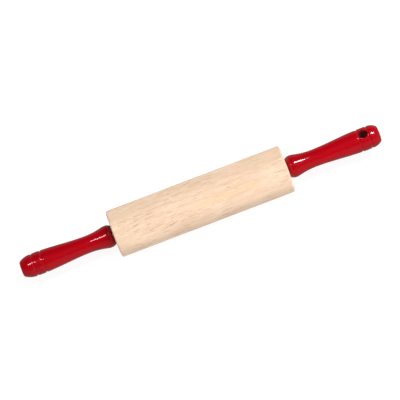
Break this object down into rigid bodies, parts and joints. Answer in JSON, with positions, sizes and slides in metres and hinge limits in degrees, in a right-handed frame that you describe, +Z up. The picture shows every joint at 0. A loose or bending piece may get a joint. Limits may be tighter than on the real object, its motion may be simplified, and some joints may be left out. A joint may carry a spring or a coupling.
{
  "type": "rolling pin",
  "caption": "Rolling pin with a pale wooden barrel that turns freely on ball bearings, glossy red turned handles and a hanging hole.",
  "frame": {"origin": "centre of the barrel, on the axis of the pin", "axes": "+X along the pin toward the handle with the hanging hole, +Z up along the axis of that hole, +Y across"},
  "size_m": [0.411, 0.0526, 0.0526],
  "materials": {
    "barrel_wood": "bare pale close-grained hardwood, sanded smooth",
    "handle_enamel": "gloss red enamel over wood",
    "rod_steel": "drawn bright steel",
    "insert_brass": "turned brass",
    "washer_nylon": "natural nylon",
    "race_steel": "ground bearing steel",
    "cage_nylon": "moulded nylon",
    "ball_steel": "polished bearing steel",
    "shield_steel": "pressed zinc-plated steel",
    "clip_steel": "phosphated spring steel"
  },
  "bodies": {
    "rod_and_handles": {"axle_rod": "rod_steel", "left_handle": "handle_enamel", "right_handle": "handle_enamel", "left_handle_insert": "insert_brass", "right_handle_insert": "insert_brass", "left_spacer_washer": "washer_nylon", "right_spacer_washer": "washer_nylon", "left_bearing_cone": "race_steel", "right_bearing_cone": "race_steel", "left_retaining_clip": "clip_steel", "right_retaining_clip": "clip_steel"},
    "barrel_body": {"barrel": "barrel_wood", "left_bearing_cup": "race_steel", "right_bearing_cup": "race_steel", "left_bearing_shield": "shield_steel", "right_bearing_shield": "shield_steel"},
    "left_ball_train": {"left_ball_cage": "cage_nylon", "left_bearing_balls": "ball_steel"},
    "right_ball_train": {"right_ball_cage": "cage_nylon", "right_bearing_balls": "ball_steel"}
  },
  "joints": [
    {"name": "barrel_spin", "type": "hinge", "parent": "rod_and_handles", "child": "barrel_body", "pos_m": [0, 0, 0], "axis": [1, 0, 0], "continuous": true},
    {"name": "left_train_turn", "type": "hinge", "parent": "rod_and_handles", "child": "left_ball_train", "pos_m": [-0.09435, 0, 0], "axis": [1, 0, 0], "continuous": true},
    {"name": "right_train_turn", "type": "hinge", "parent": "rod_and_handles", "child": "right_ball_train", "pos_m": [0.09435, 0, 0], "axis": [1, 0, 0], "continuous": true}
  ],
  "couplings": [
    {"joint": "left_train_turn", "follows": "barrel_spin", "ratio": 0.64706},
    {"joint": "right_train_turn", "follows": "barrel_spin", "ratio": 0.64706}
  ]
}
